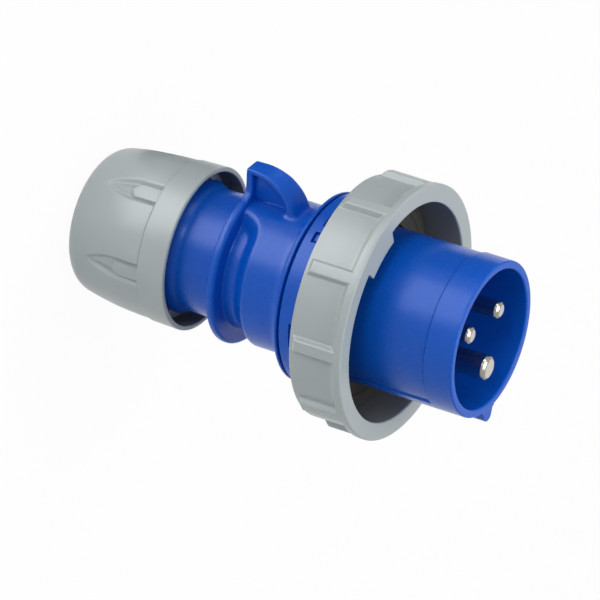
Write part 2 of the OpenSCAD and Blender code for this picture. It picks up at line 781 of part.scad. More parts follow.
module pin(radius, barrel_d, hole_d, setback, a) {
    tip = z_rim - setback;
    flat = radius - pin_bevel * 0.75;
    z_head = z_collar + collar_t;
    color(nickel) at_angle(a) translate([pin_orbit, 0, 0]) difference() {
        rotate_extrude() polygon([[0, z_wire], [barrel_d / 2 - edge, z_wire], [barrel_d / 2, z_wire + edge],
            [barrel_d / 2, z_collar], [barrel_d / 2 + collar_step, z_collar],
            [barrel_d / 2 + collar_step, z_head], [radius + pin_seat_step, z_head],
            [radius + pin_seat_step, z_base - 0.3], [radius - pin_undercut, z_base - 0.3],
            [radius - pin_undercut, z_base + 0.5], [radius, z_base + 0.5],
            [radius, tip - pin_bevel], [radius - 0.22, tip - pin_bevel * 0.5],
            [flat, tip - 0.12], [flat - 0.4, tip], [0, tip]]);
        translate([0, 0, z_wire - cut]) cylinder(wire_depth + cut, d = hole_d);
        translate([0, 0, z_screw]) rotate([0, 90, 0]) cylinder(barrel_d, d = screw_d + 2 * pin_gap);
    }
}

module earth_pin() { pin(earth_r, earth_terminal_d, earth_wire_d, earth_setback, earth_angle); }

module line_pin() { pin(pin_r, terminal_d, wire_d, pin_setback, line_angle); }

module neutral_pin() { pin(pin_r, terminal_d, wire_d, pin_setback, -line_angle); }

// Terminal screw that stands on the side of its barrel, with a slot in the head
module terminal_screw(barrel_d, hole_d, a) {
    foot = hole_d / 2 - 0.6;
    head = barrel_d / 2 + 0.1;
    color(steel) at_angle(a) translate([pin_orbit, 0, z_screw]) rotate([0, 90, 0]) difference() {
        union() {
            translate([0, 0, foot]) cylinder(head - foot + 0.1, d = screw_d);
            translate([0, 0, head]) cylinder(screw_head_h, d = screw_head_d);
        }
        translate([-screw_head_d, -0.4, head + screw_head_h - 0.9]) cube([2 * screw_head_d, 0.8, 2]);
    }
}

module earth_screw() { terminal_screw(earth_terminal_d, earth_wire_d, earth_angle); }

module line_screw() { terminal_screw(terminal_d, wire_d, line_angle); }

module neutral_screw() { terminal_screw(terminal_d, wire_d, -line_angle); }

// Pin carrier that closes the shroud, and the retainer that holds the pins in it

contact_places = [[earth_angle, earth_r, earth_terminal_d], [line_angle, pin_r, terminal_d],
    [-line_angle, pin_r, terminal_d]];
retainer_places = [-2 * line_angle, 2 * line_angle];

module pin_carrier() {
    seat_r = bore_r - ledge_w - seat_gap;
    color(deep_blue) difference() {
        union() {
            tube(skirt_in - 0.3, 0, z_carrier, z_carrier + carrier_t);
            cylinder(z_base, r = seat_r);
        }
        translate([0, 0, -cut]) cylinder(z_carrier + cut, r = skirt_in);
        for (p = contact_places) at_angle(p[0]) translate([pin_orbit, 0, 0]) {
            cylinder(z_rim, r = p[1] + pin_seat_step + pin_gap);
            cylinder(z_collar + collar_t + pin_gap, r = p[2] / 2 + collar_step + seat_gap);
        }
        for (a = retainer_places) at_angle(a) translate([retainer_screw_r, 0, 0])
            cylinder(z_carrier + carrier_t - 0.4, d = retainer_screw_d + 2 * pin_gap);
    }
}

module contact_retainer() {
    z0 = z_wire + retainer_short;
    color(black_nylon) difference() {
        union() {
            translate([0, 0, z_retainer]) cylinder(retainer_t, r = spigot_in - retainer_room);
            translate([0, 0, z0]) cylinder(z_retainer + 0.5 - z0, r = pin_orbit - 1);
            for (p = contact_places) at_angle(p[0]) translate([pin_orbit, 0, z0])
                cylinder(z_retainer + 0.5 - z0, d = lobe_d);
        }
        for (p = contact_places) at_angle(p[0]) {
            translate([pin_orbit, 0, z0 - cut]) cylinder(z_rim, d = p[2] + 2 * seat_gap);
            translate([pin_orbit, 0, z_screw]) rotate([0, 90, 0]) cylinder(lobe_d, d = screw_head_d + 0.6);
        }
        for (a = retainer_places) at_angle(a) translate([retainer_screw_r, 0, 0])
            cylinder(z_rim, d = retainer_screw_d + 2 * pin_gap);
    }
}

module retainer_screw(a) {
    head_h = 1.8;
    z_top = z_carrier + carrier_t - 0.6;
    color(steel) at_angle(a) translate([retainer_screw_r, 0, 0]) difference() {
        union() {
            translate([0, 0, z_retainer - 0.1]) cylinder(z_top - z_retainer + 0.1, d = retainer_screw_d);
            translate([0, 0, z_retainer - head_h]) cylinder(head_h, d = retainer_head_d);
        }
        for (turn = [0, 90]) rotate([0, 0, turn])
            translate([-1.5, -0.35, z_retainer - head_h - cut]) cube([3, 0.7, cut + 1]);
    }
}

module retainer_screw_left() { retainer_screw(retainer_places[0]); }

module retainer_screw_right() { retainer_screw(retainer_places[1]); }

shroud_housing();
rear_housing();
locking_ring();
gland_cap();
flange_gasket();
housing_seal();
gland_seal();
gland_seal_insert();
clamp_basket();
slip_washer();
pin_carrier();
contact_retainer();
retainer_screw_left();
retainer_screw_right();
earth_pin();
line_pin();
neutral_pin();
earth_screw();
line_screw();
neutral_screw();
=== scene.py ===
import json
import math

import bmesh
import bpy
from mathutils import Matrix, Vector


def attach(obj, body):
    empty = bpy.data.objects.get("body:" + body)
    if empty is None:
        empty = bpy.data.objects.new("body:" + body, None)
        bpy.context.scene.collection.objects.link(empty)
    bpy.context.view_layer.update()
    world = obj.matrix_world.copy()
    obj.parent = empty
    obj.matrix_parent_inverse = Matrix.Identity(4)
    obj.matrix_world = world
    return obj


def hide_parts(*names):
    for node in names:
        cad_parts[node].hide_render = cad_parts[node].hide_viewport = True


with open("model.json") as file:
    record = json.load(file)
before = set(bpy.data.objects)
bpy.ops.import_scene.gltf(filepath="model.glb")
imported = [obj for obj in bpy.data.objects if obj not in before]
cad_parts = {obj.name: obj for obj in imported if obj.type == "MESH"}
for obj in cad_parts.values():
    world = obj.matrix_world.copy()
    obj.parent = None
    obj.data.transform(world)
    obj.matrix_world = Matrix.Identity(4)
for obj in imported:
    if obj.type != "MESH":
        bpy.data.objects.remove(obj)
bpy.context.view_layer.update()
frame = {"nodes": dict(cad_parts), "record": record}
nodes = frame["nodes"]
mm = 0.001


def addObject(name, data):
    thing = bpy.data.objects.new(name, data)
    bpy.context.scene.collection.objects.link(thing)
    return thing


def addNode(tree, kind, **values):
    node = tree.nodes.new(kind)
    for key, value in values.items():
        setattr(node, key, value)
    return node


# camera: the photograph's long lens, with the plug's axis running down to the right
backDir = Vector((0.7512, -0.5086, 0.4208))
rightDir = Vector((-0.5022, -0.0266, 0.8643))
upDir = Vector((-0.4284, -0.8606, -0.2754))
shot = {"rim": Vector((0, 0, 121.7)),
        "right": -50.59, "up": 10.467, "back": 2639.07,  # the eye's place from the rim, in millimetres
        "sensor": 36, "focal": 593.07, "near": 0.1, "far": 20}
lens = bpy.data.cameras.new("lens")
lens.sensor_width = shot["sensor"]
lens.lens = shot["focal"]
lens.clip_start = shot["near"]
lens.clip_end = shot["far"]
camera = addObject("camera", lens)
eye = (shot["rim"] + shot["right"] * rightDir + shot["up"] * upDir + shot["back"] * backDir) * mm
turn = Matrix((rightDir.normalized(), upDir.normalized(), backDir.normalized())).transposed()
camera.matrix_world = Matrix.Translation(eye) @ turn.to_4x4()
bpy.context.scene.camera = camera
print("camera at", tuple(round(v, 3) for v in eye))


# materials
class Nodes:
    def __init__(self, name):
        self.material = bpy.data.materials.new(name)
        self.material.use_nodes = True
        self.tree = self.material.node_tree
        self.shader = self.tree.nodes["Principled BSDF"]
        self.coords = self.add("ShaderNodeTexCoord").outputs["Object"]

    def add(self, kind, **values):
        return addNode(self.tree, kind, **values)

    def link(self, source, target):
        self.tree.links.new(source, target)

    def noise(self, scale, detail):
        node = self.add("ShaderNodeTexNoise")
        node.inputs["Scale"].default_value = scale
        node.inputs["Detail"].default_value = detail
        node.inputs["Roughness"].default_value = 0.5
        self.link(self.coords, node.inputs["Vector"])
        return node.outputs["Fac"]

    def mottle(self, scale, dark, light):  # slow drift between two tones
        node = self.add("ShaderNodeValToRGB")
        for stop, position, colour in zip(node.color_ramp.elements, (0.3, 0.7), (dark, light)):
            stop.position = position
            stop.color = (*colour, 1)
        self.link(self.noise(scale, 3), node.inputs["Fac"])
        self.link(node.outputs["Color"], self.shader.inputs["Base Color"])

    def gloss(self, scale, detail, low, high):  # roughness between low and high
        node = self.add("ShaderNodeMapRange")
        node.inputs["To Min"].default_value = low
        node.inputs["To Max"].default_value = high
        self.link(self.noise(scale, detail), node.inputs["Value"])
        self.link(node.outputs["Result"], self.shader.inputs["Roughness"])

    def grain(self, scale, strength, depth, edge):  # fine grain over edges that shade as if rounded
        bevel = self.add("ShaderNodeBevel", samples=6)
        bevel.inputs["Radius"].default_value = edge * mm
        bump = self.add("ShaderNodeBump")
        bump.inputs["Strength"].default_value = strength
        bump.inputs["Distance"].default_value = depth * mm
        self.link(self.noise(scale, 2), bump.inputs["Height"])
        self.link(bevel.outputs["Normal"], bump.inputs["Normal"])
        self.link(bump.outputs["Normal"], self.shader.inputs["Normal"])


def tone(colour, factor):
    return tuple(min(1.0, c * factor) for c in colour)


plastic = {"tintScale": 38, "tint": (0.96, 1.04), "glossScale": 240, "gloss": (0.04, 0.05),
           "grainScale": 2600, "grainDepth": 0.05, "edge": 0.25}
metal = {"tintScale": 90, "tint": (0.94, 1.04), "glossScale": 700, "gloss": (0.05, 0.07),
         "grainScale": 3000, "grainDepth": 0.02, "grain": 0.03, "edge": 0.15}


def moulded(name, colour, roughness, grain=0.05, specular=0.35):
    n = Nodes(name)
    dark, light = plastic["tint"]
    smoother, rougher = plastic["gloss"]
    n.mottle(plastic["tintScale"], tone(colour, dark), tone(colour, light))
    n.gloss(plastic["glossScale"], 4, roughness - smoother, roughness + rougher)
    n.shader.inputs["Specular IOR Level"].default_value = specular
    n.grain(plastic["grainScale"], grain, plastic["grainDepth"], plastic["edge"])
    return n.material


def plated(name, colour, roughness):
    n = Nodes(name)
    dark, light = metal["tint"]
    smoother, rougher = metal["gloss"]
    n.mottle(metal["tintScale"], tone(colour, dark), tone(colour, light))
    n.gloss(metal["glossScale"], 3, roughness - smoother, roughness + rougher)
    n.shader.inputs["Metallic"].default_value = 1
    n.grain(metal["grainScale"], metal["grain"], metal["grainDepth"], metal["edge"])
    return n.material


finish = {
    "blue_plastic": moulded("bluePlastic", (0.002, 0.096, 0.56), 0.27, specular=0.26),
    "carrier_plastic": moulded("carrierPlastic", (0.002, 0.065, 0.38), 0.4),
    "grey_plastic": moulded("greyPlastic", (0.41, 0.46, 0.465), 0.33, specular=0.45),
    "rubber": moulded("rubber", (0.055, 0.052, 0.045), 0.6, 0.08),
    "black_plastic": moulded("blackPlastic", (0.03, 0.032, 0.035), 0.45),
    "white_plastic": moulded("whitePlastic", (0.68, 0.66, 0.6), 0.45),
    "nickel": plated("nickel", (0.72, 0.69, 0.62), 0.2),
    "steel": plated("steel", (0.55, 0.56, 0.58), 0.32),
}
ringBorePaintedShade = moulded("ringBorePaintedShade", (0.3, 0.3, 0.27), 0.5)  # painted shade: the ring's bore, the same grey plastic painted darker where shade falls
capBorePaintedShade = moulded("capBorePaintedShade", (0.24, 0.22, 0.17), 0.5)  # painted shade: the cap's bore, the same grey plastic painted darker where shade falls
for part in frame["record"]["subparts"]:
    node = nodes[part["node"]]
    for place in node.material_slots:
        place.material = finish[part["material_slot"]]
print("materials on", len(nodes), "nodes")


# shapes, in millimetres until a point is made
seamGap = 0.004  # points closer than this are one point


def mesh(name, points, faces):
    data = bpy.data.meshes.new(name)
    data.from_pydata(points, [], faces)
    return data


def softMin(a, b, k):  # the lesser of two, blended where they differ by under k
    gap = max(k - abs(a - b), 0) / k
    return min(a, b) - gap * gap * k / 4


def softMax(a, b, k):
    return -softMin(-a, -b, k)


def arc(centre, radius, start, end, steps):  # points from angle start to end, as (r, z)
    angles = [math.radians(start + (end - start) * i / steps) for i in range(steps + 1)]
    return [(centre[0] + radius * math.cos(a), centre[1] + radius * math.sin(a)) for a in angles]


def spin(angle, r, z):  # a point at an angle from the hook
    a = math.radians(angle)
    return (r * math.sin(a) * mm, -r * math.cos(a) * mm, z * mm)


def skin(name, section, angles, loop):  # section(angle) gives the outline at that angle
    columns = [section(a) for a in angles]
    points = [spin(a, r, z) for a, column in zip(angles, columns) for r, z in column]
    high = len(columns[0])
    faces = []
    for i in range(len(angles) if loop else len(angles) - 1):
        a, b = i * high, (i + 1) % len(angles) * high
        faces += [(a + j, a + j + 1, b + j + 1, b + j) for j in range(high - 1)]
    return mesh(name, points, faces)


def tube(name, loops):  # joins loops of points in a row and closes both ends
    n = len(loops[0])
    points = [p for loop in loops for p in loop]
    faces = [(i * n + j, i * n + (j + 1) % n, (i + 1) * n + (j + 1) % n, (i + 1) * n + j)
             for i in range(len(loops) - 1) for j in range(n)]
    faces += [tuple(range(n)), tuple(reversed(range(len(points) - n, len(points))))]
    return mesh(name, points, faces)


def solid(name, meshes, materials, body, smooth=50):  # joins skins to a closed piece
    work = bmesh.new()
    for data in meshes:
        work.from_mesh(data)
    bmesh.ops.remove_doubles(work, verts=work.verts, dist=seamGap * mm)
    bmesh.ops.dissolve_degenerate(work, edges=work.edges, dist=0.001 * mm)
    bmesh.ops.recalc_face_normals(work, faces=work.faces)
    rest = sum(1 for e in work.edges if not e.is_manifold)
    data = bpy.data.meshes.new(name)
    work.to_mesh(data)
    work.free()
    for material in materials:
        data.materials.append(material)
    for face in data.polygons:
        face.use_smooth = True
        face.material_index = 0
    data.set_sharp_from_angle(angle=math.radians(smooth))
    piece = addObject(name, data)
    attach(piece, body)
    print(name, len(data.polygons), "faces,", rest, "open edges")
    return piece


def around(name, data, count, phase, material):  # repeats a mesh round the axis with geometry nodes
    tree = bpy.data.node_groups.new(name, "GeometryNodeTree")
    sides = {}
    for label, kind in (("Geometry", "Geometry"), ("Count", "Int"), ("Step", "Float"), ("Phase", "Float"),
                        ("Material", "Material")):
        socket = tree.interface.new_socket(label, in_out="INPUT", socket_type="NodeSocket" + kind)
        sides[label] = socket.identifier
    tree.interface.new_socket("Geometry", in_out="OUTPUT", socket_type="NodeSocketGeometry")
    start = addNode(tree, "NodeGroupInput")
    points = addNode(tree, "GeometryNodePoints")
    index = addNode(tree, "GeometryNodeInputIndex")
    angle = addNode(tree, "ShaderNodeMath", operation="MULTIPLY_ADD")
    turned = addNode(tree, "ShaderNodeCombineXYZ")
    place = addNode(tree, "GeometryNodeInstanceOnPoints")
    real = addNode(tree, "GeometryNodeRealizeInstances")
    join = addNode(tree, "GeometryNodeMergeByDistance")
    paint = addNode(tree, "GeometryNodeSetMaterial")
    end = addNode(tree, "NodeGroupOutput")
    join.inputs["Distance"].default_value = seamGap * mm
    for source, target in (
            (start.outputs["Count"], points.inputs["Count"]),
            (index.outputs[0], angle.inputs[0]),
            (start.outputs["Step"], angle.inputs[1]),
            (start.outputs["Phase"], angle.inputs[2]),
            (angle.outputs[0], turned.inputs["Z"]),
            (points.outputs[0], place.inputs["Points"]),
            (start.outputs["Geometry"], place.inputs["Instance"]),
            (turned.outputs[0], place.inputs["Rotation"]),
            (place.outputs[0], real.inputs[0]),
            (real.outputs[0], join.inputs["Geometry"]),
            (join.outputs[0], paint.inputs["Geometry"]),
            (start.outputs["Material"], paint.inputs["Material"]),
            (paint.outputs[0], end.inputs[0])):
        tree.links.new(source, target)
    carrier = addObject(name, data)
    modifier = carrier.modifiers.new(name, "NODES")
    modifier.node_group = tree
    modifier[sides["Count"]] = count
    modifier[sides["Step"]] = 2 * math.pi / count
    modifier[sides["Phase"]] = math.radians(phase)
    modifier[sides["Material"]] = material
    made = bpy.data.meshes.new_from_object(carrier.evaluated_get(bpy.context.evaluated_depsgraph_get()))
    carrier.modifiers.remove(modifier)
    bpy.data.objects.remove(carrier)
    return made


def degrees(lengths, radius):  # arc lengths either side of a middle, as angles
    half = [math.degrees(x / radius) for x in lengths]
    return [-a for a in reversed(half) if a > 0] + half


def paintShadeInside(piece, low, high, radius):  # puts a second material, a painted shade, on faces that look inwards
    for face in piece.data.polygons:
        c, n = face.center / mm, face.normal
        reach = math.hypot(c.x, c.y)
        if low < c.z < high and reach < radius and c.x * n.x + c.y * n.y < -0.3 * reach:
            face.material_index = 1


# locking ring
ring = {"rear": 79.3, "front": 96.2, "panel": 34.0, "top": 35.9, "edge": 0.55,
        "middle": 33.0, "rearMiddle": 31,  # where outside and inside meet
        "band": 93.95, "slope": 1.8,  # front band that the ribs run into
        "count": 10, "phase": 13.2, "foot": 2.3, "crest": 1.62, "back": 80.3, "backSlope": 1.5,  # ribs
        "bore": 30.8, "lip": 26.9, "lipTop": 81.8, "lipEdge": 0.3,  # rear lip behind the flange
        "lug": 27.2, "lugDepth": 3.2, "lugs": (30.8, 210.8), "lugHalf": 12.75,  # bayonet lugs
        "dark": (81, 95.6, 31)}  # from, to and radius of the bore, painted darker grey as shade
ringRise = ring["top"] - ring["panel"]


def ringRadius(across, z):
    band = (z - ring["band"] + ring["slope"]) / ring["slope"] * ringRise
    rib = (ring["foot"] - abs(across)) / (ring["foot"] - ring["crest"]) * ringRise
    back = (z - ring["back"]) / ring["backSlope"] * ringRise
    raised = softMax(0, softMax(band, softMin(rib, back, 0.5), 0.3), 0.4)
    return ring["panel"] + softMin(ringRise, raised, 0.5)


def ringOutside(angle):  # the rows lie closer where the ribs and the band begin and end
    across = math.radians(angle) * ring["top"]
    front, rear, edge = ring["front"], ring["rear"], ring["edge"]
    zs = [95.5, 95.1, 94.7, 94.4, 94.2, 94.0, 93.8, 93.6, 93.3, 92.9, 92.6, 92.35, 92.15, 91.95, 91.7, 91.3,
          90.5, 88, 85.5, 83.4, 82.6, 82.3, 82.05, 81.8, 81.55, 81.2, 80.9, 80.6, 80.35, 80.1, 79.9, 79.7]
    side = [(ringRadius(across, z), z) for z in zs]
    r = side[-1][0]
    return ([(ring["middle"], front), (ring["top"] - edge - 0.2, front)]
            + arc((ring["top"] - edge, front - edge), edge, 90, 0, 5)
            + side
            + [(r - 0.08, rear + 0.18), (r - 0.3, rear + 0.03), (r - 0.5, rear)]
            + [(ring["rearMiddle"], rear)])


def ringInside(angle):
    front, rear, bore = ring["front"], ring["rear"], ring["bore"]
    lip, lipTop, edge = ring["lip"], ring["lipTop"], ring["lipEdge"]
    near = min(abs((angle - a + 180) % 360 - 180) for a in ring["lugs"])
    r = ring["lug"] if near <= ring["lugHalf"] else bore
    deep = front - ring["lugDepth"]
    under = [(0, 0.5), (0, 0.3), (0.1, 0.08), (0.35, 0), (bore - r, -0.02)]
    if r == bore:
        under = [(0, 0.5), (0, 0.3), (0, 0.15), (0, 0), (0, -0.15)]
    return ([(ring["middle"], front), (r + 0.65, front), (r + 0.45, front), (r + 0.12, front - 0.1)]
            + [(r, front - 0.4), (r, front - 0.6)]
            + [(r + a, deep + b) for a, b in under]
            + [(bore, deep - 0.4), (bore, 85), (bore, lipTop + 0.4), (bore - 0.4, lipTop)]
            + [(lip + edge, lipTop), (lip, lipTop - edge), (lip, rear + edge), (lip + edge, rear)]
            + [(ring["rearMiddle"], rear)])


ringPitch = 360 / ring["count"]
ringSteps = degrees([0, 0.7, 1.2, 1.4, 1.55, 1.7, 1.85, 2.0, 2.15, 2.3, 2.45, 2.65, 2.9, 3.08, 3.45, 3.62,
                     4.6, 6, 8, 10, math.radians(ringPitch / 2) * ring["top"]], ring["top"])
ringAngles = [ring["phase"] + ringPitch * i + a for i in range(ring["count"]) for a in ringSteps[:-1]]
ribs = around("ribs", skin("rib", ringOutside, ringSteps, False), ring["count"], ring["phase"],
              finish["grey_plastic"])
lockingRing = solid("lockingRing", [ribs, skin("ringInside", ringInside, ringAngles, True)],
                    [finish["grey_plastic"], ringBorePaintedShade], "locking_ring")
# the ring's bore gets its painted shade, a darker grey, here
paintShadeInside(lockingRing, *ring["dark"])
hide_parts("locking_ring")


# gland cap
cap = {"radius": 22, "top": 33.7,
       "frontMiddle": 22.35, "rearMiddle": 11.5,  # where outside and inside meet
       "barrel": 97.0, "barrelX": -74.45, "corner": 6.3, "cornerX": 14.237, "tangent": 12.09,  # domed barrel
       "count": 6, "phase": 30.0, "half": 3.35, "plan": 18.1, "straight": 18.6,  # flutes and their outline
       "depth": 1.2, "wall": 1.3, "crest": 0.55, "rise": 0.42,  # walls and ridged floor
       "tongue": 1.95, "tongueEnd": 18.7, "tongueDepth": 0.42, "tongueSlope": 2.2,
       "collar": 25.3, "collarEdge": ((22.6, 33.25), 0.45),
       "collarLine": [(22.36, 25.3), (22.36, 25.34), (22.62, 25.37), (22.76, 25.44), (22.82, 25.62),
                      (22.83, 25.9), (22.88, 28), (23.0, 31), (23.05, 33.05), (23.05, 33.15)],
       "recess": [(22.0, 33.7), (21.78, 33.6), (21.7, 33.4), (21.7, 33.2), (21.7, 30), (21.7, 27.6),
                  (21.4, 27.3)],
       "thread": [(18.95, 27.3), (18.75, 27.1), (18.75, 20), (18.75, 12.3), (15.0, 12.3)],
       "hole": [(11.9, 3.0), (9.6, 3.0), (9.5, 2.9), (9.5, 0.5), (9.65, 0.15), (10, 0)],
       "dark": (12, 33.3, 22)}  # from, to and radius of the bore, painted darker grey as shade


def fluteDepth(across, z):
    x = abs(across)
    half = cap["half"]
    if z < cap["straight"]:
        half += math.sqrt(max(cap["plan"] ** 2 - (cap["straight"] - z) ** 2, 0)) - cap["plan"]
    walls = (half - x) * cap["wall"]
    ridge = cap["crest"] + x * cap["rise"]
    out = (x if z > cap["tongueEnd"] else math.hypot(x, cap["tongueEnd"] - z)) - cap["tongue"]
    tongue = cap["tongueDepth"] + max(out, 0) * cap["tongueSlope"]
    base = softMin(softMin(cap["depth"], ridge, 0.2), tongue, 0.25)
    return softMax(0, softMin(walls, base, 0.35), 0.3)


def capOutside(angle):
    across = math.radians(angle) * cap["radius"]
    collar = cap["collar"]
    centre, edge = cap["collarEdge"]
    corner = arc((cap["cornerX"], cap["corner"]), cap["corner"], 270, 360 - cap["tangent"], 12)
    low = corner[-1][1]
    zs = [low + (collar - 0.15 - low) * i / 44 for i in range(1, 45)] + [collar - 0.04]
    barrel = [(cap["barrelX"] + math.sqrt(cap["barrel"] ** 2 - (collar - z) ** 2), z) for z in zs]
    body = [(r - fluteDepth(across, z), z) for r, z in corner[6:] + barrel]
    return ([(cap["rearMiddle"], 0)] + corner[:6] + body + cap["collarLine"]
            + arc(centre, edge, 0, 90, 4) + [(cap["frontMiddle"], cap["top"])])


def capInside(angle):  # from the collar through the thread and the cone to the cable hole
    return ([(cap["frontMiddle"], cap["top"])] + cap["recess"] + cap["thread"] + cap["hole"]
            + [(cap["rearMiddle"], 0)])


capPitch = 360 / cap["count"]
capSteps = degrees([0, 0.35, 0.7, 1.1, 1.5, 1.75, 1.95, 2.15, 2.35, 2.6, 2.85, 3.1, 3.3, 3.5, 3.7, 4.0, 4.7,
                    6, 8, 10, math.radians(capPitch / 2) * cap["radius"]], cap["radius"])
capAngles = [cap["phase"] + capPitch * i + a for i in range(cap["count"]) for a in capSteps[:-1]]
flutes = around("flutes", skin("flute", capOutside, capSteps, False), cap["count"], cap["phase"],
                finish["grey_plastic"])
glandCap = solid("glandCap", [flutes, skin("capInside", capInside, capAngles, True)],
                 [finish["grey_plastic"], capBorePaintedShade], "gland_nut")
# the cap's bore gets its painted shade, a darker grey, here
paintShadeInside(glandCap, *cap["dark"])
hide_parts("gland_cap")


# rear housing with finger groove, fin and hook
rear = {"body": 20.85, "neck": 17.3, "neckRows": (38, 41, 44), "neckEdge": 0.8, "flare": 4.0, "flareZ": 35,
        "finRear": 46.4, "fin": 22.45, "finEdge": 1.05,
        "groove": 49.0, "grooveDepth": 3.25, "grooveSlope": 3.4, "soft": 0.7,
        "endAcross": 13.8, "endRadius": 7.6,  # the groove's round ends
        "lipFlare": 5.0, "lipStart": 65.1, "lip": 26.5, "lipRear": 70.1, "lipEdge": 0.45,
        "seam": 71.08, "seamEdge": 0.35, "seamMiddle": 24.25,
        "spigot": [(15.8, 17), (17.6, 17), (18.4, 17.8), (18.4, 31), (18.8, 31)],  # carries the gland cap
        "plugIn": [(24.25, 71.9), (23.4, 71.9), (23.4, 72.05), (22.25, 72.05),  # goes into the front housing
                   (22.25, 74.15), (23.4, 74.15), (23.4, 77.4), (22.9, 77.9), (21.0, 77.9), (21.0, 71.3)],
        "hollow": [(18.65, 67.3), (18.65, 56.8), (14.9, 52.3), (14.9, 31.4), (12.8, 30.6), (12.8, 29),
                   (15.3, 29), (15.3, 17.5), (15.8, 17)],
        "twistLug": (22.9, 24.3, 75.5, 76.7), "twistLugs": (60, 180, 300), "twistHalf": 12}
hook = {"top": 30.7, "rear": 47.2, "flat": 50.0, "arc": 14.5, "web": 0.6,
        "inner": (16.1, 49.0, 13.1), "innerLean": 0.6,  # height, z and radius of the leg's inner arc
        "sweep": (75, 76), "steps": 32,  # degrees of the outer and the inner arc
        "legGrowth": 2.2,  # how much thicker the leg is at its foot
        "width": (50, 2.9, 0.075), "footWidth": (56, 3.35, 0.12),  # z, half width there, growth along z
        "edge": 0.55, "finEdge": (24, 0.15), "footEdge": (58, 0.18),  # where edges grow softer, and how fast
        "footHalf": 3.85, "footRear": 60.2, "footFront": 63.26, "footCorner": 0.9, "footFillet": 1.5,
        "inFin": 21.8, "finFaces": (46.72, 48.75), "wallFace": 48.95, "wallSet": 0.5, "wallLean": (22, 0.03),
        "wall": [(20.6, 5.9), (21.4, 5.5), (21.85, 4.95), (22.15, 4.4),  # height and half width
                 (22.45, 3.85), (22.8, 3.35), (23.2, 2.95), (23.7, 2.65),
                 (24.3, 2.46), (25, 2.38), (26, 2.36), (27.5, 2.42), (28.4, 2.5)],
        "crest": [((-1.4, -0.24), (28.7, 48.97), 2.56),  # from top and rear, inner point, half width
                  ((-0.55, -0.14), (28.85, 49.0), 2.62),
                  ((-0.25, -0.02), (29.0, 49.08), 2.66),
                  ((-0.06, 0.2), (29.12, 49.25), 2.69),
                  ((0, 0.5), (29.18, 49.45), 2.72),
                  ((0, 1.4), (29.2, 49.8), 2.78)]}


def grooveDepth(angle, z):
    across = rear["body"] * math.sin(math.radians(min(abs(angle), 90)))
    reach = rear["endAcross"] - across
    out = z - rear["groove"]
    inside = rear["endRadius"] - (math.hypot(reach, out) if reach > 0 else out)
    depth = inside / rear["grooveSlope"] * rear["grooveDepth"]
    return softMin(rear["grooveDepth"], softMax(0, depth, rear["soft"]), rear["soft"])


def footRise(angle, z):  # concave fillet where the hook's foot meets the body
    across = abs(angle) * math.pi / 180 * rear["body"]
    corner, fillet = hook["footCorner"], hook["footFillet"]
    beside = max(across - hook["footHalf"] + corner, 0)
    along = max(hook["footRear"] + corner - z, z - hook["footFront"] + corner, 0)
    away = min(max(math.hypot(beside, along) - corner, 0), fillet)
    return min(fillet - math.sqrt(max(fillet * fillet - (fillet - away) ** 2, 0)), 0.62 * fillet)


def rearOutside(angle):
    fin, edge, body = rear["fin"], rear["finEdge"], rear["body"]
    start, groove = rear["finRear"], rear["groove"]
    neck, neckEdge, flare = rear["neck"], rear["neckEdge"], rear["flare"]
    lip, lipEdge = rear["lip"], rear["lipEdge"]
    seam, seamEdge = rear["seam"], rear["seamEdge"]
    base = body - grooveDepth(angle, groove)
    rows = [groove + 0.35 * i for i in range(1, 27)] + [58.5 + 0.4 * i for i in range(17)]
    side = [(body - grooveDepth(angle, z) + footRise(angle, z), z) for z in rows]
    finWall = fin - edge
    wall = [(finWall + (base + 0.35 - finWall) * t, groove) for t in (0.35, 0.7, 1)]
    return (rear["spigot"]
            + arc((neck + flare, rear["flareZ"]), flare, 201, 180, 6)
            + [(neck, z) for z in rear["neckRows"]]
            + arc((neck + neckEdge, start - neckEdge), neckEdge, 180, 90, 5)
            + arc((fin - edge, start + edge), edge, 270, 360, 6)
            + arc((fin - edge, groove - edge), edge, 0, 90, 6)
            + wall + [(base + 0.1, groove + 0.08)] + side
            + arc((body + rear["lipFlare"], rear["lipStart"]), rear["lipFlare"], 178, 92, 12)
            + arc((lip - lipEdge, rear["lipRear"] + lipEdge), lipEdge, 270, 360, 5)
            + arc((lip - seamEdge, seam - seamEdge), seamEdge, 0, 90, 4) + [(rear["seamMiddle"], seam)])


def rearInside(angle):
    return [(rear["seamMiddle"], rear["seam"])] + rear["plugIn"] + rear["hollow"]


def hookPath():  # outer point, inner point and half width at each station along the hook's band
    top, rearZ, steps = hook["top"], hook["rear"], hook["steps"]
    inHeight, inZ, inArc = hook["inner"]
    leanStart, lean = hook["wallLean"]
    stations = []
    for h, half in hook["wall"]:
        outerZ, innerZ = rearZ - hook["wallSet"] + lean * (h - leanStart), hook["wallFace"]
        if h < hook["inFin"]:
            outerZ, innerZ = hook["finFaces"]
        stations.append(((h, outerZ), (h, innerZ), half))
    for (h, z), inner, half in hook["crest"]:
        stations.append(((top + h, rearZ + z), inner, half))
    for i in range(steps + 1):
        a, b = [math.radians(sweep * i / steps) for sweep in hook["sweep"]]
        z = hook["flat"] + hook["arc"] * math.sin(a)
        start, width, growth = hook["width"] if z < hook["footWidth"][0] else hook["footWidth"]
        outer = (top - hook["arc"] * (1 - math.cos(a)), z)
        innerZ = inZ + inArc * math.sin(b) + hook["innerLean"] * math.cos(b)
        innerZ -= hook["legGrowth"] * (i / steps) ** 4
        stations.append((outer, (inHeight + inArc * math.cos(b), innerZ), width + growth * (z - start)))
    return stations


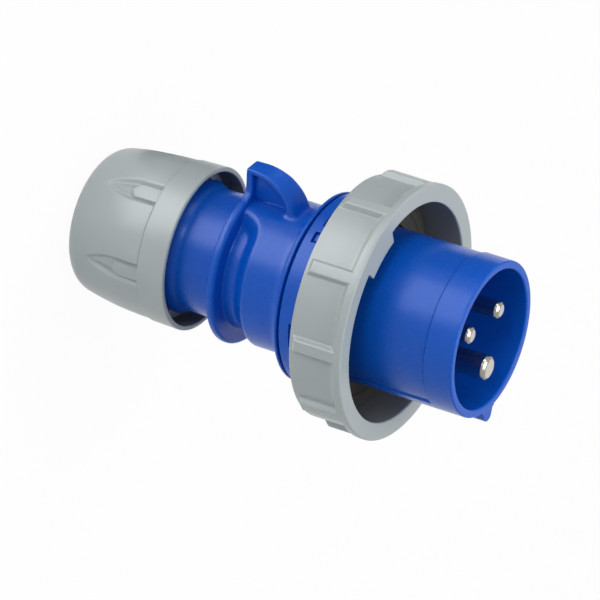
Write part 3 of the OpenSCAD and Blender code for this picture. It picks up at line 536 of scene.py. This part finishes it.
def hookBand():  # a rounded bar along the stations, with softer edges near the fin and the foot
    loops = []
    finHeight, finGrowth = hook["finEdge"]
    footZ, footGrowth = hook["footEdge"]
    for (h0, z0), (h1, z1), half in hookPath():
        deep = math.hypot(h1 - h0, z1 - z0)
        nearFin = max(finHeight - h0, 0) if z0 < hook["flat"] else 0
        nearFoot = max(z0 - footZ, 0)
        r = min(hook["edge"] + footGrowth * nearFoot + finGrowth * nearFin, deep * 0.42)
        outline = (arc((half - r, r), r, -90, 0, 4) + arc((half - r, deep - r), r, 0, 90, 4)
                   + arc((r - half, deep - r), r, 90, 180, 4) + arc((r - half, r), r, 180, 270, 4))
        loops.append([(x * mm, -(h0 + (h1 - h0) * v / deep) * mm, (z0 + (z1 - z0) * v / deep) * mm)
                      for x, v in outline])
    return tube("hookBand", loops)


def hookWeb():  # thin wall in the middle of the hook
    middles = [((a[0] + b[0]) / 2, (a[1] + b[1]) / 2) for a, b, _ in hookPath()[1:]]
    sides = [[(x * mm, -h * mm, z * mm) for h, z in middles] for x in (-hook["web"], hook["web"])]
    return tube("hookWeb", sides)


def twistLug(middle):  # part of a ring either side of an angle
    inner, outer, low, high = rear["twistLug"]
    steps = [middle + rear["twistHalf"] * (i / 6 - 1) for i in range(13)]
    corners = ((inner, low), (outer, low), (outer, high), (inner, high))
    return tube("twistLug", [[spin(a, r, z) for r, z in corners] for a in steps])


rearAngles = ([0.7 * i for i in range(-32, 33)] + [22.4 + 1.5 * i for i in range(1, 27)]
              + [61.4 + 4 * i for i in range(1, 60)] + [-61.4 + 1.5 * i for i in range(26)])
rearParts = [skin("rearOutside", rearOutside, rearAngles, True),
             skin("rearInside", rearInside, rearAngles, True), hookBand(), hookWeb()]
rearParts += [twistLug(a) for a in rear["twistLugs"]]
rearHousing = solid("rearHousing", rearParts, [finish["blue_plastic"]], "plug_body", 40)
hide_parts("rear_housing")


# floor, backdrop and light
studio = {"middle": Vector((0, 0, 60)),  # in millimetres, all other lengths in metres
          "floor": 30, "white": 0.96, "world": 0.4,
          "lowKeys": (("lowKeyNear", 0.065, (0.055, 0.05), 0.034),  # name, distance, size, power
                      ("lowKeyMiddle", 0.135, (0.11, 0.09), 0.13),
                      ("lowKeyFar", 0.27, (0.22, 0.18), 0.54)),
          "lowKeyWay": (0.46, -0.888), "lowKeyTurn": 27.4, "lowHeight": 0.003,
          "card": ((0.03, 18), (0.03, 72), (0.5, 72), (0.6, 45), (0.5, 18)),  # distances and angles
          "endGlow": (0.9, Vector((-0.7512, 0.5086, 0.4208)), 1.2, 1.1),  # size, way, distance, power
          "boxes": (("topLight", 0.6, (0.2, 0.85, 0.55), 1.6, 2.2),  # name, size, way, distance, power
                    ("sideLight", 0.5, (-0.2, 0.35, 0.92), 2.0, 6.6),
                    ("fillLight", 0.6, (0.9, -0.1, 0.6), 1.0, 5.5))}
middle = studio["middle"] * mm


def panel(name, size, place, power):  # soft box aimed at the middle of the plug
    data = bpy.data.lights.new(name, "AREA")
    data.shape = "RECTANGLE"
    data.size, data.size_y = size
    data.energy = power
    lamp = addObject(name, data)
    lamp.location = place
    lamp.rotation_euler = (middle - Vector(place)).to_track_quat("-Z", "Y").to_euler()
    return lamp


def glossOnly(lamp):
    lamp.visible_camera = False
    lamp.visible_diffuse = False


side = studio["floor"]
corners = [(-side, -side, 0), (side, -side, 0), (side, side, 0), (-side, side, 0)]
floor = addObject("floor", mesh("floor", corners, [(0, 1, 2, 3)]))
ground = Nodes("ground")  # white to the camera and in reflections, with the object's shadow left in it
ground.shader.inputs["Base Color"].default_value = (0.9, 0.9, 0.9, 1)
ground.shader.inputs["Roughness"].default_value = 0.8
rays = ground.add("ShaderNodeLightPath")
seen = ground.add("ShaderNodeMath", operation="ADD")
seenThrough = ground.add("ShaderNodeMath", operation="ADD", use_clamp=True)
share = ground.add("ShaderNodeMath", operation="MULTIPLY")
share.inputs[1].default_value = studio["white"]
white = ground.add("ShaderNodeEmission")
mix = ground.add("ShaderNodeMixShader")
for source, target in (
        (rays.outputs["Is Camera Ray"], seen.inputs[0]),
        (rays.outputs["Is Glossy Ray"], seen.inputs[1]),
        (seen.outputs[0], seenThrough.inputs[0]),
        (rays.outputs["Is Transmission Ray"], seenThrough.inputs[1]),
        (seenThrough.outputs[0], share.inputs[0]),
        (share.outputs[0], mix.inputs[0]),
        (ground.shader.outputs[0], mix.inputs[1]),
        (white.outputs[0], mix.inputs[2]),
        (mix.outputs[0], ground.tree.nodes["Material Output"].inputs["Surface"])):
    ground.link(source, target)
floor.data.materials.append(ground.material)

corners = [(-r * math.sin(math.radians(a)), -r * math.cos(math.radians(a)), studio["lowHeight"])
           for r, a in studio["card"]]
flag = addObject("darkFlag", mesh("darkFlag", corners, [(0, 1, 2, 3, 4)]))
flag.visible_camera = False
flag.visible_diffuse = False
flag.visible_shadow = False
flag.visible_transmission = False
card = Nodes("darkCard")
card.shader.inputs["Base Color"].default_value = (0.02, 0.02, 0.02, 1)
card.shader.inputs["Roughness"].default_value = 1
flag.data.materials.append(card.material)

world = bpy.data.worlds.new("studio")
world.use_nodes = True
bpy.context.scene.world = world
sky = world.node_tree.nodes["Background"]
sky.inputs["Color"].default_value = (1, 1, 1, 1)
sky.inputs["Strength"].default_value = studio["world"]

acrossX, acrossY = studio["lowKeyWay"]
for label, away, size, power in studio["lowKeys"]:  # soft boxes flat on the floor, facing up
    lamp = panel(label, size, (acrossX * away, acrossY * away, studio["lowHeight"]), power)
    lamp.rotation_euler = (math.pi, 0, math.radians(studio["lowKeyTurn"]))
    glossOnly(lamp)
size, way, distance, power = studio["endGlow"]  # gives the pins' end faces their gleam
glossOnly(panel("endGlow", (size, size), middle + way * distance, power))
for label, size, (right, up, back), distance, power in studio["boxes"]:
    way = (rightDir * right + upDir * up + backDir * back).normalized()
    panel(label, (size, size), middle + way * distance, power)

bpy.context.scene.view_settings.view_transform = "Standard"
